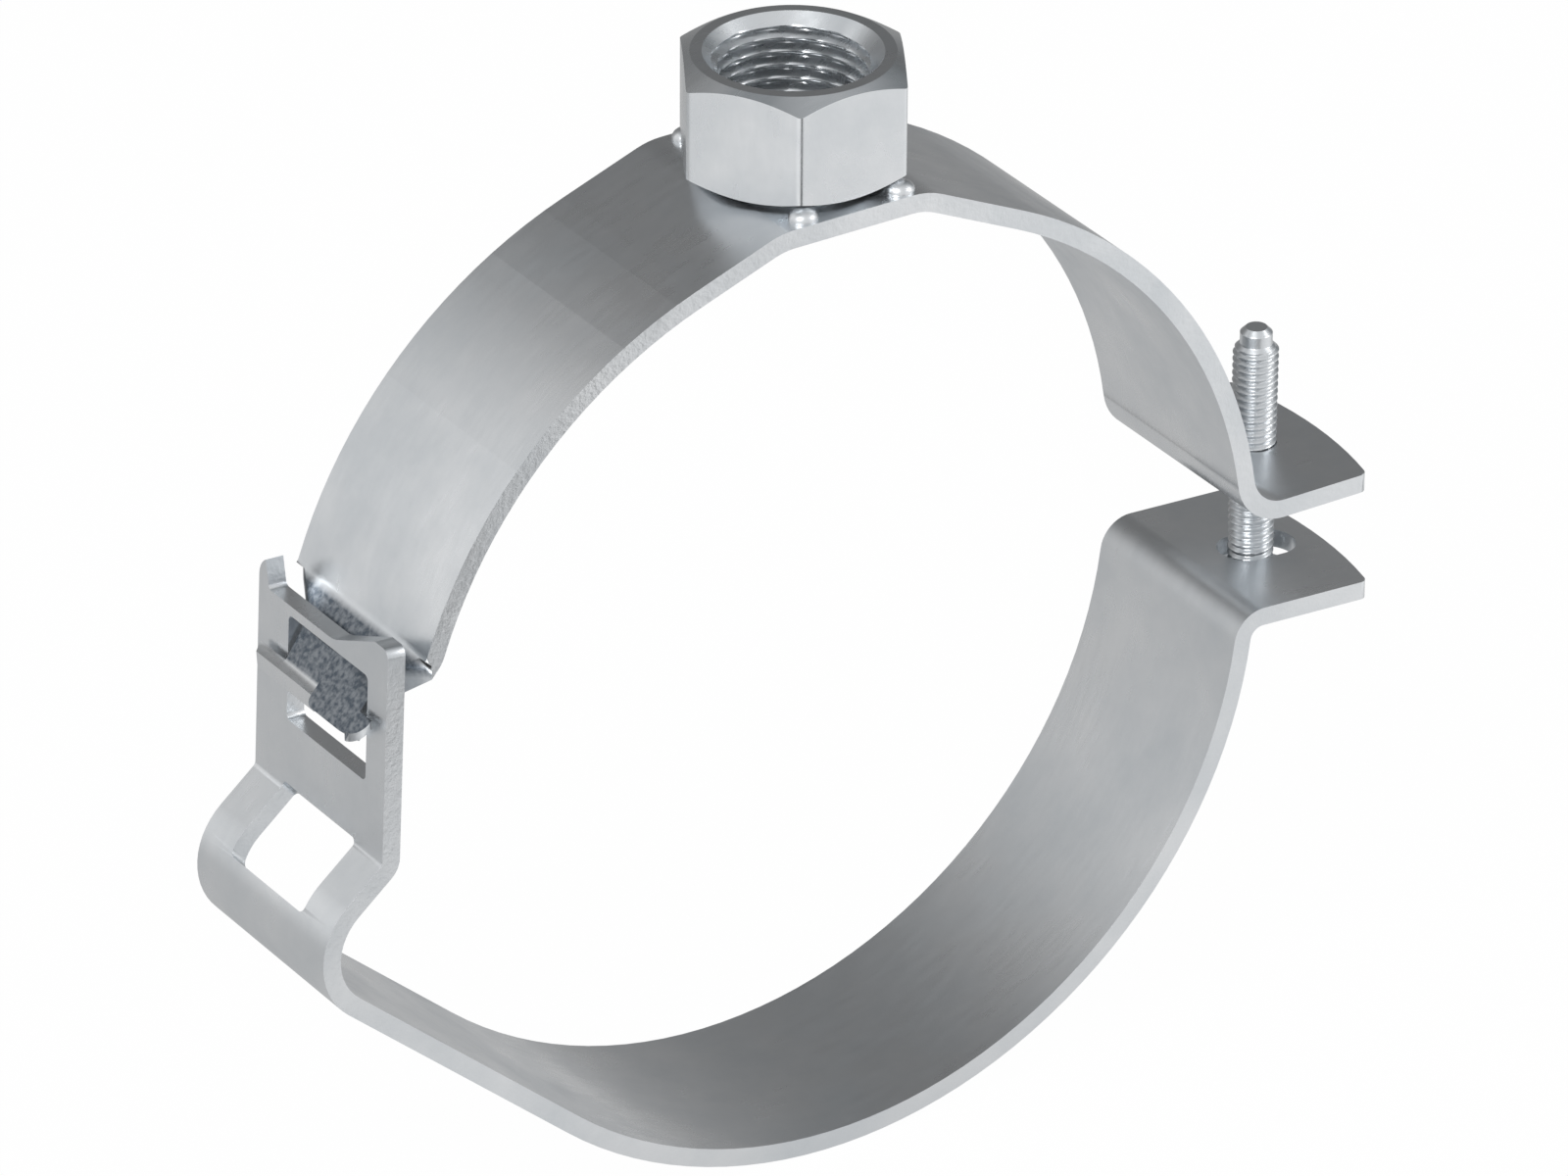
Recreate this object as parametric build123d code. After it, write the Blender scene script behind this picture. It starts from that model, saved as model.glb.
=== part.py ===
from build123d import *
import os
from math import acos, atan2, copysign, cos, degrees, hypot, radians, sin, sqrt, tan

# A two-part pipe ring bent from steel strip. The upper band carries a threaded hex socket and ends in a
# hook that passes through a window in the lower band. A screw closes the ring at the other side.
# Frame: origin on the pipe axis of the upper band, X towards the closing screw, Y along the pipe, Z up.

# Strip and ring
strip_width = 30.0
strip_thickness = 2.5
upper_bore = 121.8
lower_bore = 120.0
fold_radius = 1.0
corner_radius = 1.2
tip_radius = 58.0

# Flat seat on top of the upper band, and the socket that is welded on it
seat_hook_reach = 9.0
seat_screw_reach = 12.3
seat_rise = 0.75
seat_fold_radius = 8.0
socket_offset = 2.4
socket_across_flats = 27.0
socket_height = 15.0
socket_edge_diameter = 25.4
socket_thread_bore = 18.63
socket_mouth_diameter = 22.4
weld_gap = 0.5
weld_nub_diameter = 3.4
weld_nub_height = 1.2
weld_nub_inset = 1.5
weld_nub_edge_gap = 0.25

# Flange of the upper band, with the tapped hole
upper_flange_angle = 8.6
upper_flange_length = 19.6
upper_flange_fold = 4.8

# Lower band: how far it hangs open, and its own flange with the slot
open_drop = 5.7
open_shift = 0.74
lower_flange_angle = -7.2
lower_flange_slope = 3.0
lower_flange_length = 19.9
lower_flange_fold = 1.8
slot_length = 11.0
slot_width = 7.2
slot_inner_play = 1.6

# Hinge side of the lower band: straight leg, round loop, short slope and upright plate
leg_angle = 229.2
leg_length = 41.8
loop_radius = 7.5
slope_heading = 40.0
slope_length = 6.1
plate_heading = 87.7
plate_length = 29.0
loop_window_width = 17.0
loop_window_length = 11.2
hook_window_width = 18.5
hook_window_offset = -1.35
hook_window_height = 14.4
hook_window_foot = 9.2
plate_dip_depth = 4.1
plate_dip_far_y = 12.6
plate_dip_far_slant = 1.7
plate_dip_floor_end = -2.5
plate_dip_near_y = -12.0
plate_dip_fillet = 5.0
plate_near_corner_radius = 1.25
plate_far_corner_radius = 3.0
window_corner_radius = 0.8

# Hook of the upper band: shoulders, a neck that fills the window, and two arms bent after assembly
hook_angle = 160.8
hook_fold_radius = 2.0
hook_heading = 229.0
hook_shoulder_length = 3.6
neck_side_play = 0.45
arm_clearance = 0.45
arm_split_y = -0.8
far_arm_heading = 196.0
far_arm_blank_length = 6.0
far_arm_length = 2.8
far_arm_reach = 13.4
far_arm_setback = 1.3
far_arm_corner_radius = 1.2
near_arm_heading = 257.0
near_arm_fold_radius = 4.0
near_arm_blank_length = 6.0
near_arm_foot = 9.3
near_arm_reach = 14.5
near_arm_round_radius = 6.5
near_arm_corner_radius = 1.5

# Closing screw
screw_diameter = 6.0
screw_radial_play = 0.03
screw_offset = 73.2
screw_length = 35.0
screw_pilot_diameter = 4.2
screw_pilot_length = 2.2
screw_tip_chamfer = 0.9
screw_head_across_flats = 10.0
screw_head_height = 4.0
screw_head_chamfer_diameter = 9.4
head_seat_gap = 0.4

upper_radius = upper_bore / 2
upper_outer_radius = upper_radius + strip_thickness
lower_radius = lower_bore / 2
lower_outer_radius = lower_radius + strip_thickness
cut_depth = 8 * strip_thickness
through_ring = 4 * upper_outer_radius
touch = 0.01


def unit(heading):
    """Direction in the XZ plane for a heading in degrees, 0 along +X and 90 along +Z."""
    return Vector(cos(radians(heading)), 0, sin(radians(heading)))


class Fold:
    """One straight run or one bend of a strip: where it starts and ends, and its heading at the start."""

    def __init__(self, start, heading):
        self.start = start
        self.heading = heading
        self.end = start


def folded_strip(start, heading, steps):
    """Strip whose left face begins at start. A step is ("run", length) or ("bend", turn, inside radius),
    and a turn to the left is positive. Returns the solid and the list of its folds."""
    left_edges = []
    right_edges = []
    folds = []
    point = start
    for step in steps:
        fold = Fold(point, heading)
        to_right = unit(heading - 90)
        if step[0] == "run":
            after = point + unit(heading) * step[1]
            left_edges.append(Line(point, after))
            right_edges.append(Line(point + to_right * strip_thickness, after + to_right * strip_thickness))
        else:
            turn, inside = step[1], step[2]
            if turn > 0:
                left_reach, right_reach = inside, inside + strip_thickness
                centre = point - to_right * inside
            else:
                left_reach, right_reach = -(inside + strip_thickness), -inside
                centre = point + to_right * (inside + strip_thickness)
            swing = [unit(heading - 90 + turn * part) for part in (0, 0.5, 1)]
            left_edges.append(ThreePointArc(*[centre + way * left_reach for way in swing]))
            right_edges.append(ThreePointArc(*[centre + way * right_reach for way in swing]))
            after = centre + swing[2] * left_reach
            heading = heading + turn
        fold.end = after
        folds.append(fold)
        point = after
    first_cap = Line(left_edges[0] @ 0, right_edges[0] @ 0)
    last_cap = Line(left_edges[-1] @ 1, right_edges[-1] @ 1)
    section = Face(Wire(left_edges + [last_cap] + right_edges + [first_cap]))
    solid = extrude(section, amount=strip_width / 2, dir=(0, 1, 0), both=True)
    return solid, folds


def on_fold(fold, along):
    """Plane on the left face of a run: x along the run, y along the pipe, z out of the left face."""
    return Plane(origin=fold.start + unit(fold.heading) * along, x_dir=unit(fold.heading),
                 z_dir=unit(fold.heading + 90))


def window(fold, along, length, width, offset=0):
    """Cutter for a window with rounded corners, from along to along + length on a run."""
    shape = RectangleRounded(length, width, window_corner_radius)
    shape = on_fold(fold, along + length / 2) * Pos(0, offset, 0) * shape
    return extrude(shape, amount=cut_depth / 2, both=True)


def trimmed(band, outline, x_from, x_to):
    """Cut away what lies outside a plan outline between two values of x."""
    low, high = min(x_from, x_to), max(x_from, x_to)
    region = Pos((low + high) / 2, 0, 0) * Box(high - low, strip_width + cut_depth, through_ring)
    keep = extrude(outline, amount=through_ring / 2, both=True)
    return band - (region - keep)


def flange_outline(root_x, tip_x):
    """Plan of a flange: straight sides, a slightly bowed tip and rounded corners."""
    bow = tip_radius - sqrt(tip_radius ** 2 - (strip_width / 2) ** 2)
    side_x = tip_x - bow
    half = strip_width / 2
    sides = Polyline((side_x, half), (root_x, half), (root_x, -half), (side_x, -half))
    tip = ThreePointArc((side_x, -half), (tip_x, 0), (side_x, half))
    shape = make_face([sides, tip])
    corners = shape.vertices().filter_by(lambda spot: spot.X > (root_x + tip_x) / 2)
    return fillet(corners, corner_radius)


def seat_side(reach):
    """One side of the seat: its flat run, the turn of its fold and the sloping run that meets the ring."""
    seat_z = upper_outer_radius + seat_rise
    turn = degrees(atan2(reach, seat_z) + acos(upper_outer_radius / hypot(reach, seat_z)))
    setback = (seat_fold_radius + strip_thickness) * tan(radians(turn / 2))
    tangent_length = sqrt(reach ** 2 + seat_z ** 2 - upper_outer_radius ** 2)
    return reach - setback, turn, tangent_length - setback


def make_upper_band(plate):
    seat_z = upper_outer_radius + seat_rise
    flat, turn, slope = seat_side(seat_screw_reach)
    screw_side, screw_folds = folded_strip(Vector(0, 0, seat_z), 0, [
        ("run", flat),
        ("bend", -turn, seat_fold_radius),
        ("run", slope),
        ("bend", -(90 - upper_flange_angle - turn), upper_radius),
        ("bend", 90 - upper_flange_angle, upper_flange_fold),
        ("run", upper_flange_length - upper_flange_fold)])
    flat, turn, slope = seat_side(seat_hook_reach)
    hook_side, arc_folds = folded_strip(Vector(0, 0, seat_z - strip_thickness), 180, [
        ("run", flat),
        ("bend", turn, seat_fold_radius),
        ("run", slope),
        ("bend", hook_angle - 90 - turn, upper_radius),
        ("bend", hook_heading - hook_angle - 90, hook_fold_radius)])
    flange = screw_folds[-1]
    band = screw_side + hook_side + make_hook(arc_folds[-1].end, plate)
    band = trimmed(band, flange_outline(flange.start.X, flange.end.X), flange.start.X, flange.end.X + touch)
    tapped_hole = Pos(screw_offset, 0, flange.start.Z) * Cylinder(screw_diameter / 2, cut_depth)
    return band - tapped_hole, screw_folds


def make_hook(root, plate):
    """Tongue from root down through the window of the plate, with a far and a near arm outside the plate."""
    window_foot = plate.start + unit(plate.heading) * hook_window_foot
    arm_x = window_foot.X - arm_clearance
    upper_face_x = root.X + strip_thickness * cos(radians(hook_heading - 90))
    tongue = ("run", (arm_x - upper_face_x) / cos(radians(hook_heading)))
    far_strip = folded_strip(root, hook_heading, [
        tongue,
        ("bend", far_arm_heading - hook_heading, fold_radius),
        ("run", far_arm_blank_length)])[0]
    near_strip = folded_strip(root, hook_heading, [
        tongue,
        ("bend", near_arm_heading - hook_heading, near_arm_fold_radius),
        ("run", near_arm_blank_length)])[0]
    shoulder_x = (root.X + upper_face_x) / 2
    far_side = extrude(far_hook_outline(shoulder_x, arm_x), amount=through_ring / 2, both=True)
    near_side = extrude(near_neck_outline(shoulder_x, arm_x), amount=through_ring / 2, both=True)
    near_arm = extrude(near_arm_outline(arm_x), amount=-through_ring)
    return (far_strip & far_side) + (near_strip & near_side) + (near_strip & near_arm)


def far_hook_outline(shoulder_x, arm_x):
    """Plan of the far part of the hook: shoulder, neck and the arm behind the plate."""
    neck = hook_window_offset + hook_window_width / 2 - neck_side_play
    neck_x = shoulder_x - hook_shoulder_length
    tip_x = arm_x - far_arm_length
    shape = make_face(Polyline(
        (0, arm_split_y),
        (0, strip_width / 2),
        (shoulder_x, strip_width / 2),
        (neck_x, neck),
        (arm_x, neck),
        (arm_x, far_arm_reach),
        (tip_x + far_arm_setback, far_arm_reach),
        (tip_x, arm_split_y),
        (0, arm_split_y)))
    corners = shape.vertices().filter_by(lambda spot: spot.Y > neck and spot.X < arm_x - touch)
    return fillet(corners, far_arm_corner_radius)


def near_neck_outline(shoulder_x, arm_x):
    """Plan of the near part of the hook as far as the outside of the plate."""
    neck = hook_window_offset - hook_window_width / 2 + neck_side_play
    neck_x = shoulder_x - hook_shoulder_length
    return make_face(Polyline(
        (0, arm_split_y),
        (arm_x, arm_split_y),
        (arm_x, neck),
        (neck_x, neck),
        (shoulder_x, -strip_width / 2),
        (0, -strip_width / 2),
        (0, arm_split_y)))


def near_arm_outline(arm_x):
    """Outline of the near arm as seen along X: straight sides and a foot with one large round."""
    face = Plane(origin=(arm_x, 0, 0), x_dir=(0, 1, 0), z_dir=(1, 0, 0))
    shape = make_face(Polyline(
        (arm_split_y, upper_radius),
        (arm_split_y, near_arm_foot),
        (-near_arm_reach, near_arm_foot),
        (-near_arm_reach, upper_radius),
        (arm_split_y, upper_radius)))
    foot = shape.vertices().filter_by(lambda spot: spot.Y < near_arm_foot + touch)
    shape = fillet(foot.sort_by(Axis.X)[:1], near_arm_round_radius)
    foot = shape.vertices().filter_by(lambda spot: spot.Y < near_arm_foot + touch)
    shape = fillet(foot.sort_by(Axis.X)[-1:], near_arm_corner_radius)
    return face * shape


def make_lower_band():
    middle = Vector(open_shift, 0, -open_drop)
    screw_side, screw_folds = folded_strip(middle + Vector(0, 0, -lower_radius), 0, [
        ("bend", 90 + lower_flange_angle, lower_radius),
        ("bend", -(90 + lower_flange_angle + lower_flange_slope), lower_flange_fold),
        ("run", lower_flange_length - lower_flange_fold)])
    leg_heading = leg_angle - 90
    hinge_side, hinge_folds = folded_strip(middle + Vector(0, 0, -lower_outer_radius), 180, [
        ("bend", leg_heading - 180, lower_radius),
        ("run", leg_length),
        ("bend", slope_heading - leg_heading, loop_radius),
        ("run", slope_length),
        ("bend", plate_heading - slope_heading, fold_radius),
        ("run", plate_length)])
    band = screw_side + hinge_side

    flange = screw_folds[-1]
    band = trimmed(band, flange_outline(flange.start.X, flange.end.X), flange.start.X, flange.end.X + touch)
    slot = extrude(SlotOverall(slot_length, slot_width), amount=cut_depth, both=True)
    band = band - Pos(slot_centre_x(), 0, flange.start.Z) * slot

    slope = hinge_folds[3]
    plate = hinge_folds[5]
    loop_window_start = slope_length + fold_radius - loop_window_length
    band = band - window(slope, loop_window_start, loop_window_length, loop_window_width)
    band = band - window(plate, hook_window_foot, hook_window_height, hook_window_width, hook_window_offset)

    plate_top = plate.end + unit(plate_heading - 90) * (strip_thickness / 2)
    for side, radius in ((1, plate_far_corner_radius), (-1, plate_near_corner_radius)):
        corner_y = side * strip_width / 2
        corner = band.edges().filter_by(
            lambda edge: hypot(edge.center().X - plate_top.X, edge.center().Z - plate_top.Z) < touch
            and abs(edge.center().Y - corner_y) < touch)
        band = fillet(corner, radius)
    band = band - dip_cutter(plate)
    return band, screw_folds, hinge_folds


def dip_cutter(plate):
    """Cutter for the dip in the top of the plate: steep on the far side, a long rise on the near side."""
    shape = make_face(Polyline(
        (strip_thickness, plate_dip_far_y + plate_dip_far_slant),
        (-plate_dip_depth, plate_dip_far_y),
        (-plate_dip_depth, plate_dip_floor_end),
        (0, plate_dip_near_y),
        (strip_thickness, plate_dip_near_y),
        (strip_thickness, plate_dip_far_y + plate_dip_far_slant)))
    bends = shape.vertices().filter_by(lambda spot: abs(spot.Y - plate_dip_floor_end) < touch)
    shape = fillet(bends, plate_dip_fillet)
    far_floor = shape.vertices().filter_by(lambda spot: abs(spot.Y - plate_dip_far_y) < touch)
    shape = fillet(far_floor, window_corner_radius)
    return extrude(on_fold(plate, plate_length) * shape, amount=cut_depth / 2, both=True)


def slot_centre_x():
    """The slot starts just inside the screw and runs towards the tip, so that the band can swing."""
    return screw_offset - screw_diameter / 2 - slot_inner_play + slot_length / 2


def hex_prism(across_flats, height, edge_diameter, both_ends=True):
    """Hexagon from z = 0 to height with its corners turned down to edge_diameter at 30 degrees."""
    corner = across_flats / sqrt(3) + touch
    drop = (corner - edge_diameter / 2) * tan(radians(30))
    outline = [(0, 0, 0), (corner, 0, 0)]
    if both_ends:
        outline = [(0, 0, 0), (edge_diameter / 2, 0, 0), (corner, 0, drop)]
    outline += [(corner, 0, height - drop), (edge_diameter / 2, 0, height), (0, 0, height), (0, 0, 0)]
    turned = revolve(make_face(Polyline(*outline)), Axis.Z)
    prism = extrude(RegularPolygon(across_flats / 2, 6, major_radius=False), amount=height)
    return prism & turned


def socket_base_z():
    return upper_outer_radius + seat_rise + weld_gap


def make_hex_socket():
    socket = hex_prism(socket_across_flats, socket_height, socket_edge_diameter)
    bore_radius = socket_thread_bore / 2
    mouth_radius = socket_mouth_diameter / 2
    mouth_depth = mouth_radius - bore_radius
    bore = make_face(Polyline((0, 0, 0), (bore_radius, 0, 0), (bore_radius, 0, socket_height - mouth_depth),
                              (mouth_radius, 0, socket_height), (0, 0, socket_height), (0, 0, 0)))
    return Pos(socket_offset, 0, socket_base_z()) * (socket - revolve(bore, Axis.Z))


def make_weld_nubs(socket, band):
    """Four weld nubs under the socket corners that stand over the flat seat."""
    corner_reach = socket_across_flats / sqrt(3) - weld_nub_inset
    y_reach = strip_width / 2 - weld_nub_edge_gap - weld_nub_diameter / 2
    nubs = []
    for angle in (60, 120, 240, 300):
        x = socket_offset + corner_reach * cos(radians(angle))
        y = copysign(y_reach, sin(radians(angle)))
        base = socket_base_z() - weld_gap - strip_thickness / 2
        height = strip_thickness / 2 + weld_gap + weld_nub_height
        nub = Pos(x, y, base + height / 2) * Cylinder(weld_nub_diameter / 2, height)
        nubs.extend((nub - socket - band).solids())
    return Compound(nubs)


def make_closing_screw(head_top_z):
    radius = screw_diameter / 2 - screw_radial_play
    pilot = screw_pilot_diameter / 2
    tip_z = screw_length
    shoulder_z = screw_length - screw_pilot_length
    slant = radius - pilot
    profile = make_face(Polyline(
        (0, 0, 0), (radius, 0, 0), (radius, 0, shoulder_z - slant), (pilot, 0, shoulder_z),
        (pilot, 0, tip_z - screw_tip_chamfer / 2), (pilot - screw_tip_chamfer / 2, 0, tip_z), (0, 0, tip_z),
        (0, 0, 0)))
    shank = revolve(profile, Axis.Z)
    head = hex_prism(screw_head_across_flats, screw_head_height, screw_head_chamfer_diameter, both_ends=False)
    head = Rot(180, 0, 0) * head
    return Pos(screw_offset, 0, head_top_z) * (shank + head)


lower_band, lower_screw_folds, hinge_folds = make_lower_band()
upper_band, upper_screw_folds = make_upper_band(hinge_folds[-1])
hex_socket = make_hex_socket()
weld_nubs = make_weld_nubs(hex_socket, upper_band)

# The head bears on the underside of the sloping lower flange, on the side of the tip
lower_flange = lower_screw_folds[-1]
head_reach = screw_head_across_flats / sqrt(3)
flange_fall = (screw_offset + head_reach - lower_flange.start.X) * tan(radians(lower_flange_slope))
flange_depth = strip_thickness / cos(radians(lower_flange_slope))
head_top = lower_flange.start.Z - flange_fall - flange_depth - head_seat_gap
closing_screw = make_closing_screw(head_top)

nodes = {
    "upper_band": upper_band,
    "lower_band": lower_band,
    "hex_socket": hex_socket,
    "weld_nubs": weld_nubs,
    "closing_screw": closing_screw,
}
os.makedirs("parts", exist_ok=True)
for name, shape in nodes.items():
    shape.label = name
    export_step(shape, f"parts/{name}.step")

# Where the mounts and the joints lie
print("socket base z", round(socket_base_z(), 3), "mouth z", round(socket_base_z() + socket_height, 3))
print("upper flange top z", round(upper_screw_folds[-1].start.Z, 3), "tip x", round(upper_screw_folds[-1].end.X, 3))
print("lower flange top z", round(lower_flange.start.Z, 3), "tip x", round(lower_flange.end.X, 3))
print("screw head top z", round(head_top, 3), "tip z", round(head_top + screw_length, 3))
print("window foot", [round(v, 3) for v in hinge_folds[-1].start + unit(plate_heading) * hook_window_foot])
print("plate top", [round(v, 3) for v in hinge_folds[-1].end])
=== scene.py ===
from math import acos, cos, pi, radians, sin, tan

import bmesh
import bpy
from mathutils import Matrix, Vector


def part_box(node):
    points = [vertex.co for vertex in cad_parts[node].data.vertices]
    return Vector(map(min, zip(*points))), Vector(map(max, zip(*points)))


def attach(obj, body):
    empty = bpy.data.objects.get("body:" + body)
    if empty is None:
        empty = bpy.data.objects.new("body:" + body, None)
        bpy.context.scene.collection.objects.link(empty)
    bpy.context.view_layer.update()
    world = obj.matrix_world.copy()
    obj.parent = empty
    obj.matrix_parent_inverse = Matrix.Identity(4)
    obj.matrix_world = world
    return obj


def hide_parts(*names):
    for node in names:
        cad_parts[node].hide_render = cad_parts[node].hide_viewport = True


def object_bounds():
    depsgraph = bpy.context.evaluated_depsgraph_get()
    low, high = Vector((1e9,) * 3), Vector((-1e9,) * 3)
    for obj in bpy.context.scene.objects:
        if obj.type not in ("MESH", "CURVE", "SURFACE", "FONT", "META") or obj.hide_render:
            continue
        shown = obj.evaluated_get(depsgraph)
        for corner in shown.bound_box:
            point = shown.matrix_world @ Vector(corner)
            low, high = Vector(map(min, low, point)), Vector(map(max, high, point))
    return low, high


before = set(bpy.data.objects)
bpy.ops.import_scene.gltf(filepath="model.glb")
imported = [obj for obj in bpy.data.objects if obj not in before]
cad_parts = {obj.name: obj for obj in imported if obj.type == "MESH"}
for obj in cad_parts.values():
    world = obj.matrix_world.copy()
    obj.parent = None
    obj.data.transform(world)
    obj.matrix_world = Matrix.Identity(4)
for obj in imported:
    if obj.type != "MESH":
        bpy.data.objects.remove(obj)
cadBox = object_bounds()
mm = 0.001
print("frame loaded:", ", ".join(sorted(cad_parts)))


# helpers for node trees

def wire(tree, source, target):
    # a socket is linked, a plain value is set
    if isinstance(source, bpy.types.NodeSocket):
        tree.links.new(source, target)
    else:
        target.default_value = source


def calc(tree, operation, a, b=0.0, c=None):
    node = tree.nodes.new("ShaderNodeMath")
    node.operation = operation
    wire(tree, a, node.inputs[0])
    wire(tree, b, node.inputs[1])
    if c is not None:
        wire(tree, c, node.inputs[2])
    return node.outputs[0]


def clampedRange(tree, value, fromLow, fromHigh, toLow, toHigh):
    node = tree.nodes.new("ShaderNodeMapRange")
    node.clamp = True
    for index, item in enumerate((value, fromLow, fromHigh, toLow, toHigh)):
        wire(tree, item, node.inputs[index])
    return node.outputs[0]


def pick(tree, condition, whenFalse, whenTrue):
    # condition is 0 or 1
    span = calc(tree, "SUBTRACT", whenTrue, whenFalse)
    return calc(tree, "MULTIPLY_ADD", condition, span, whenFalse)


# zinc plating

platingLook = {
    "light": (0.80, 0.815, 0.83, 1.0),
    "dark": (0.66, 0.69, 0.715, 1.0),
    "cloudScale": 55.0,
    "grainScale": 900.0,
    "edgeGrainScale": 1500.0,
}


def makePlating(name, roughness, grainBump, edgeBump, look=platingLook, paintedShade=None):
    material = bpy.data.materials.new(name)
    material.use_nodes = True
    tree = material.node_tree
    shader = tree.nodes["Principled BSDF"]
    shader.inputs["Metallic"].default_value = 1.0
    place = tree.nodes.new("ShaderNodeTexCoord").outputs["Object"]

    cloud = tree.nodes.new("ShaderNodeTexNoise")
    cloud.inputs["Scale"].default_value = look["cloudScale"]
    cloud.inputs["Detail"].default_value = 5.0
    cloud.inputs["Roughness"].default_value = 0.6
    wire(tree, place, cloud.inputs["Vector"])

    # rolling grain: noise drawn out along the strip's length, so it is fine across the pipe axis
    stretch = tree.nodes.new("ShaderNodeMapping")
    stretch.inputs["Scale"].default_value = (0.25, 1.0, 0.25)
    wire(tree, place, stretch.inputs["Vector"])
    grain = tree.nodes.new("ShaderNodeTexNoise")
    grain.inputs["Scale"].default_value = look["grainScale"]
    grain.inputs["Detail"].default_value = 3.0
    wire(tree, stretch.outputs[0], grain.inputs["Vector"])

    pits = tree.nodes.new("ShaderNodeTexNoise")
    pits.inputs["Scale"].default_value = look["edgeGrainScale"]
    pits.inputs["Detail"].default_value = 2.0
    wire(tree, place, pits.inputs["Vector"])

    colour = tree.nodes.new("ShaderNodeMix")
    colour.data_type = "RGBA"
    wire(tree, clampedRange(tree, cloud.outputs["Fac"], 0.3, 0.7, 0.0, 1.0), colour.inputs["Factor"])
    colour.inputs["A"].default_value = look["dark"]
    colour.inputs["B"].default_value = look["light"]
    tint = colour.outputs["Result"]

    # the sheared sides face along the pipe and are rougher than the rolled faces
    facing = tree.nodes.new("ShaderNodeSeparateXYZ")
    wire(tree, tree.nodes.new("ShaderNodeNewGeometry").outputs["Normal"], facing.inputs[0])
    sheared = clampedRange(tree, calc(tree, "ABSOLUTE", facing.outputs["Y"]), 0.8, 0.98, 0.0, 1.0)
    patch = clampedRange(tree, cloud.outputs["Fac"], 0.3, 0.7, roughness + 0.07, roughness - 0.05)
    fine = clampedRange(tree, grain.outputs["Fac"], 0.3, 0.7, -0.03, 0.03)
    smooth = calc(tree, "ADD", patch, fine)
    wire(tree, calc(tree, "MULTIPLY_ADD", sheared, 0.03, smooth), shader.inputs["Roughness"])

    if paintedShade:
        # painted shade: the faces of the hook that look up and out, beyond its root, get a darker, blotchy
        # colour
        split = tree.nodes.new("ShaderNodeSeparateXYZ")
        wire(tree, place, split.inputs[0])
        (startX, startZ), (wayX, wayZ) = paintedShade["start"], paintedShade["way"]
        along = calc(tree, "MULTIPLY_ADD", split.outputs["Z"], wayZ, -startX * wayX - startZ * wayZ)
        along = calc(tree, "MULTIPLY_ADD", split.outputs["X"], wayX, along)
        upward = calc(tree, "MULTIPLY", facing.outputs["Z"], -wayX)
        upward = calc(tree, "MULTIPLY_ADD", facing.outputs["X"], wayZ, upward)
        shadeMask = calc(tree, "MULTIPLY", clampedRange(tree, along, 0.0, 1.0 * mm, 0.0, 1.0),
                    clampedRange(tree, upward, 0.5, 0.85, 0.0, 1.0))
        # the far arm outside the plate stays light, without the painted shade
        splitY, armX = paintedShade["splitY"], paintedShade["armX"]
        farSide = clampedRange(tree, split.outputs["Y"], splitY, splitY + 0.2 * mm, 0.0, 1.0)
        outside = clampedRange(tree, split.outputs["X"], armX, armX + 0.3 * mm, 1.0, 0.0)
        keep = calc(tree, "SUBTRACT", 1.0, calc(tree, "MULTIPLY", farSide, outside))
        shadeMask = calc(tree, "MULTIPLY", shadeMask, keep)
        blotch = clampedRange(tree, pits.outputs["Fac"], 0.35, 0.65, 0.75, 1.0)
        darker = tree.nodes.new("ShaderNodeMix")
        darker.data_type = "RGBA"
        wire(tree, calc(tree, "MULTIPLY", shadeMask, blotch), darker.inputs["Factor"])
        wire(tree, tint, darker.inputs["A"])
        darker.inputs["B"].default_value = paintedShade["colour"]
        tint = darker.outputs["Result"]
    wire(tree, tint, shader.inputs["Base Color"])

    height = pick(tree, sheared, calc(tree, "MULTIPLY", grain.outputs["Fac"], grainBump),
                  calc(tree, "MULTIPLY", pits.outputs["Fac"], edgeBump))
    bump = tree.nodes.new("ShaderNodeBump")
    bump.inputs["Strength"].default_value = 0.35
    bump.inputs["Distance"].default_value = 0.1 * mm
    wire(tree, height, bump.inputs["Height"])
    wire(tree, bump.outputs["Normal"], shader.inputs["Normal"])
    return material


bandZinc = makePlating("stripZincPlating", 0.30, 0.4, 1.6)
# where the painted shade on the hook begins, which way it runs, and where the light far arm is
hookPaintedShade = {
    "start": (-60.25 * mm, 20.2 * mm),
    "way": (-0.656, -0.755),
    "splitY": -0.9 * mm,
    "armX": -66.6 * mm,
    "colour": (0.10, 0.12, 0.145, 1.0),
}
# the hooked strip's plating carries painted shade on the hook's faces that look up and out
hookedBandZincPaintedShade = makePlating("hookedStripZincPaintedShade", 0.30, 0.4, 1.6, paintedShade=hookPaintedShade)
socketZinc = makePlating("socketZincPlating", 0.24, 0.3, 0.3)
screwZinc = makePlating("screwZincPlating", 0.28, 0.2, 0.2)
nubZinc = makePlating("weldNubZincPlating", 0.38, 1.2, 1.2)


# shapes that follow a rule round an axis

def startShape(name, sizes):
    # sizes: input name -> value; the tree gets one named input for each
    tree = bpy.data.node_groups.new(name, "GeometryNodeTree")
    tree.interface.new_socket(name="Geometry", in_out="OUTPUT", socket_type="NodeSocketGeometry")
    for label, value in sizes.items():
        kind = "NodeSocketInt" if isinstance(value, int) else "NodeSocketFloat"
        item = tree.interface.new_socket(name=label, in_out="INPUT", socket_type=kind)
        item.default_value = value
    knobs = tree.nodes.new("NodeGroupInput").outputs
    return tree, knobs


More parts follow.
